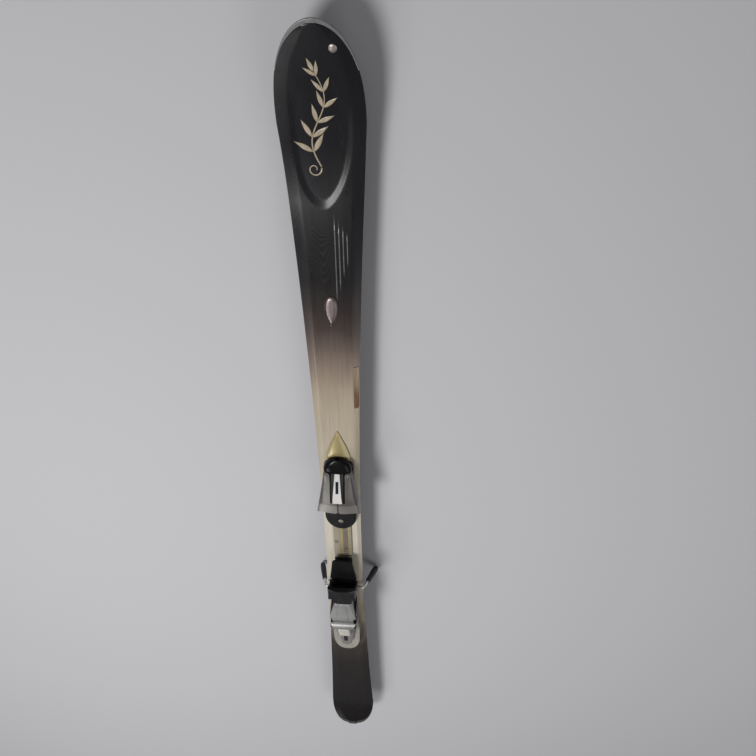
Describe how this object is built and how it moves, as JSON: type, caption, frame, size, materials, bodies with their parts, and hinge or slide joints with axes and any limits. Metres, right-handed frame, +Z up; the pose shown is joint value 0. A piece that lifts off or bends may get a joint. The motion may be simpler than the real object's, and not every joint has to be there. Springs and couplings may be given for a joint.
{
  "type": "carving ski",
  "caption": "Carving ski with a turned-up shovel, a plate binding with toe jaws and a sliding heel piece, and a ski brake with its arms down.",
  "frame": {"origin": "on the sliding base, on the ski's middle line, under the middle of the boot", "axes": "+X towards the tip, +Y towards the ski's left, +Z up, square to the base under the boot"},
  "size_m": [1.68, 0.1304, 0.1314],
  "materials": {
    "base_black": "waxed sintered polyethylene, dark",
    "edge_steel": "ground bright along the ski",
    "core_wood": "laminated wood, sealed inside",
    "sidewall_black": "satin black, ground along the ski",
    "topsheet_charcoal": "lacquered, fading from charcoal to champagne and cream and back",
    "protector_grey": "satin grey",
    "protector_dark": "satin dark brown",
    "rivet_silver": "turned, satin",
    "badge_dark": "dark bronze",
    "badge_silver": "polished dome",
    "strip_amber": "clear amber",
    "rail_grey": "satin warm grey",
    "gold_strip": "yellow-green gold",
    "rack_brown": "dark brown",
    "screw_steel": "zinc plated",
    "gold_ramp": "metallic gold",
    "toe_black": "black, glass filled",
    "panel_white": "pearl white",
    "window_black": "smoked",
    "indicator_orange": "orange",
    "nose_black": "glossy black",
    "setting_steel": "zinc plated",
    "wing_silver": "silver paint",
    "pin_steel": "ground",
    "glide_black": "black",
    "glide_satin": "satin black, low friction",
    "track_pearl": "pearl beige",
    "frame_black": "black, glass filled",
    "heel_silver": "silver paint",
    "cup_black": "black, glass filled",
    "panel_cream": "cream",
    "cover_grey": "grey metallic paint",
    "bracket_grey": "dark grey",
    "pedal_black": "black, ribbed",
    "wire_steel": "bright spring wire",
    "tip_black": "black"
  },
  "bodies": {
    "ski": {"running_base": "base_black", "steel_edge_left": "edge_steel", "steel_edge_right": "edge_steel", "wood_core": "core_wood", "sidewall_left": "sidewall_black", "sidewall_right": "sidewall_black", "topsheet": "topsheet_charcoal", "tip_protector": "protector_grey", "tail_protector": "protector_dark", "tip_rivet": "rivet_silver", "badge_rim": "badge_dark", "teardrop_badge": "badge_silver", "side_window": "strip_amber", "binding_rail": "rail_grey", "front_ramp": "gold_ramp", "gold_strip_left": "gold_strip", "gold_strip_right": "gold_strip", "scale_rack": "rack_brown", "rail_screw_1": "screw_steel", "rail_screw_2": "screw_steel", "rail_screw_3": "screw_steel", "rail_screw_4": "screw_steel", "toe_base": "toe_black", "toe_housing": "toe_black", "toe_nose": "nose_black", "toe_panel": "panel_white", "toe_window": "window_black", "wing_pin_left": "pin_steel", "wing_pin_right": "pin_steel", "toe_glide_base": "glide_black", "glide_rivet": "rivet_silver"},
    "left_wing": {"toe_wing_left": "wing_silver"},
    "right_wing": {"toe_wing_right": "wing_silver"},
    "glide_plate": {"toe_glide": "glide_satin"},
    "toe_screw": {"toe_setting_screw": "setting_steel"},
    "toe_marker": {"toe_indicator": "indicator_orange"},
    "heel_carriage": {"heel_track": "track_pearl", "heel_frame": "frame_black", "heel_axle": "pin_steel", "lever_axle": "pin_steel", "heel_cover": "cover_grey", "heel_window": "window_black", "brake_bracket": "bracket_grey", "brake_axle": "pin_steel"},
    "worm": {"length_screw": "setting_steel"},
    "tilting_heel": {"heel_body": "heel_silver", "heel_cup": "cup_black"},
    "lever": {"heel_lever": "heel_silver", "lever_panel": "panel_cream"},
    "heel_screw": {"heel_setting_screw": "setting_steel"},
    "heel_marker": {"heel_indicator": "indicator_orange"},
    "left_arm": {"brake_arm_left": "wire_steel", "brake_tip_left": "tip_black"},
    "right_arm": {"brake_arm_right": "wire_steel", "brake_tip_right": "tip_black"},
    "pedal": {"brake_pedal": "pedal_black"}
  },
  "joints": [
    {"name": "toe_wing_left_swing", "type": "hinge", "parent": "ski", "child": "left_wing", "pos_m": [0.1945, 0.0203, 0.0228], "axis": [0, 0, -1], "range_deg": [0, 25], "stiffness_Nm_per_rad": 2, "springref_deg": -5.73},
    {"name": "toe_wing_right_swing", "type": "hinge", "parent": "ski", "child": "right_wing", "pos_m": [0.1945, -0.0203, 0.0228], "axis": [0, 0, 1], "range_deg": [0, 25], "stiffness_Nm_per_rad": 2, "springref_deg": -5.73},
    {"name": "toe_glide_swing", "type": "hinge", "parent": "ski", "child": "glide_plate", "pos_m": [0.0546, 0, 0.0205], "axis": [0, 0, 1], "range_deg": [-10, 10], "stiffness_Nm_per_rad": 0.5},
    {"name": "toe_setting_turn", "type": "hinge", "parent": "ski", "child": "toe_screw", "pos_m": [0.2165, 0, 0.0276], "axis": [1, 0, 0], "range_deg": [0, 1440]},
    {"name": "toe_indicator_slide", "type": "slide", "parent": "ski", "child": "toe_marker", "axis": [0.9537, 0, -0.3007], "range_m": [0, 0.005]},
    {"name": "heel_slide", "type": "slide", "parent": "ski", "child": "heel_carriage", "axis": [1, 0, 0], "range_m": [-0.03, 0.005]},
    {"name": "length_screw_turn", "type": "hinge", "parent": "heel_carriage", "child": "worm", "pos_m": [-0.3705, -0.0063, 0.0217], "axis": [1, 0, 0], "range_deg": [-1810, 310]},
    {"name": "heel_tilt", "type": "hinge", "parent": "heel_carriage", "child": "tilting_heel", "pos_m": [-0.195, 0, 0.0605], "axis": [0, -1, 0], "range_deg": [0, 48]},
    {"name": "heel_lever_lift", "type": "hinge", "parent": "heel_carriage", "child": "lever", "pos_m": [-0.2245, 0, 0.062], "axis": [0, 1, 0], "range_deg": [0, 60]},
    {"name": "heel_setting_turn", "type": "hinge", "parent": "heel_carriage", "child": "heel_screw", "pos_m": [-0.3338, 0, 0.0372], "axis": [1, 0, 0], "range_deg": [0, 1440]},
    {"name": "heel_indicator_slide", "type": "slide", "parent": "heel_carriage", "child": "heel_marker", "axis": [-0.9974, 0, -0.0724], "range_m": [0, 0.005]},
    {"name": "brake_arm_left_swing", "type": "hinge", "parent": "heel_carriage", "child": "left_arm", "pos_m": [-0.147, 0.0405, 0.0245], "axis": [0.0399, 0.9713, 0.2345], "range_deg": [0, 79.9], "stiffness_Nm_per_rad": 1.5, "springref_deg": -68.75},
    {"name": "brake_arm_right_swing", "type": "hinge", "parent": "heel_carriage", "child": "right_arm", "pos_m": [-0.147, -0.0405, 0.0245], "axis": [-0.0399, 0.9713, -0.2345], "range_deg": [0, 80], "stiffness_Nm_per_rad": 1.5, "springref_deg": -68.75},
    {"name": "brake_pedal_press", "type": "hinge", "parent": "heel_carriage", "child": "pedal", "pos_m": [-0.147, 0, 0.0245], "axis": [0, 1, 0], "range_deg": [0, 6]}
  ],
  "couplings": [
    {"joint": "toe_indicator_slide", "follows": "toe_setting_turn", "m_per_rad": 0.00019894},
    {"joint": "length_screw_turn", "follows": "heel_slide", "rad_per_m": 1047.2},
    {"joint": "heel_lever_lift", "follows": "heel_tilt", "ratio": 1.25},
    {"joint": "heel_indicator_slide", "follows": "heel_setting_turn", "m_per_rad": 0.00019894},
    {"joint": "brake_arm_right_swing", "follows": "brake_arm_left_swing", "ratio": 1},
    {"joint": "brake_pedal_press", "follows": "brake_arm_left_swing", "ratio": 0.075}
  ]
}
